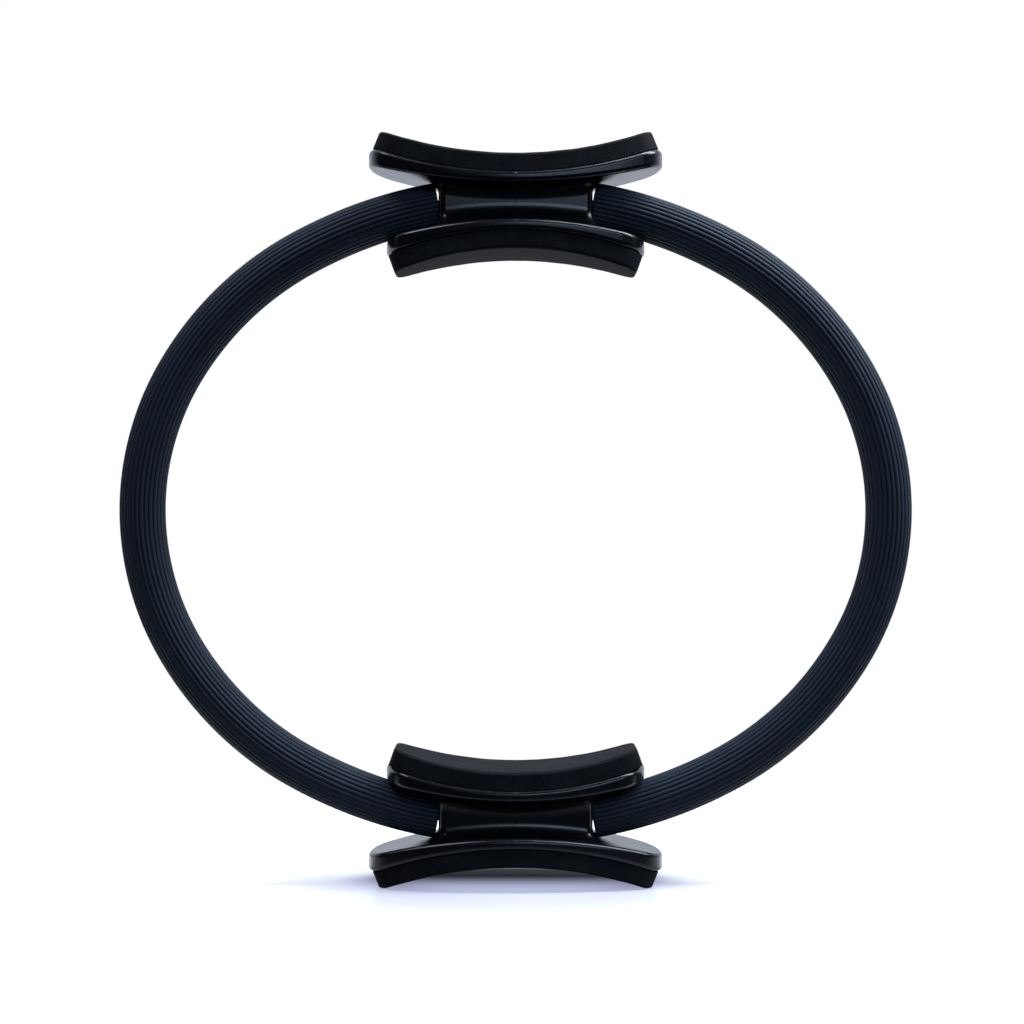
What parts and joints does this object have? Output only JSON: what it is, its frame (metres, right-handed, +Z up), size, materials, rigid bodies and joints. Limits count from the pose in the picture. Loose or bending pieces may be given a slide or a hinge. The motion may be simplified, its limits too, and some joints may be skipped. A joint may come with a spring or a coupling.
{
  "type": "pilates ring",
  "caption": "Oval pilates ring of ribbed foam-covered spring bands between opposed hourglass handles, with curved foam pads outside and inside, squeezed by hands or legs.",
  "frame": {"origin": "on the floor under the middle of the ring, at the bottom centre of the bounding box", "axes": "+X to the right across the ring, +Y along the ring's axis away from the picture's camera, +Z up from the lower handle to the upper one"},
  "size_m": [0.3798, 0.058, 0.359],
  "materials": {
    "handle_plastic": "gloss",
    "foam_pad": "matte",
    "foam_sleeve": "matte",
    "spring_band": "satin",
    "bonding_sheet": "matte",
    "fastener_steel": "satin"
  },
  "bodies": {
    "ring_base": {"lower_handle_body": "handle_plastic", "lower_outer_pad": "foam_pad", "lower_outer_pad_adhesive": "bonding_sheet", "lower_inner_pad": "foam_pad", "lower_inner_pad_adhesive": "bonding_sheet", "lower_retaining_bolts": "fastener_steel", "lower_bolt_washers": "fastener_steel", "lower_retaining_nuts": "fastener_steel", "left_spring_band": "spring_band", "right_spring_band": "spring_band", "left_foam_sleeve": "foam_sleeve", "right_foam_sleeve": "foam_sleeve"},
    "upper_handle": {"upper_handle_body": "handle_plastic", "upper_outer_pad": "foam_pad", "upper_outer_pad_adhesive": "bonding_sheet", "upper_inner_pad": "foam_pad", "upper_inner_pad_adhesive": "bonding_sheet", "upper_retaining_bolts": "fastener_steel", "upper_bolt_washers": "fastener_steel", "upper_retaining_nuts": "fastener_steel"}
  },
  "joints": [
    {"name": "ring_squeeze", "type": "slide", "parent": "ring_base", "child": "upper_handle", "axis": [0, 0, -1], "range_m": [-0.03, 0.1], "stiffness_N_per_m": 600, "springref_m": -0.00214, "deforming": ["left_spring_band", "right_spring_band", "left_foam_sleeve", "right_foam_sleeve"]}
  ]
}
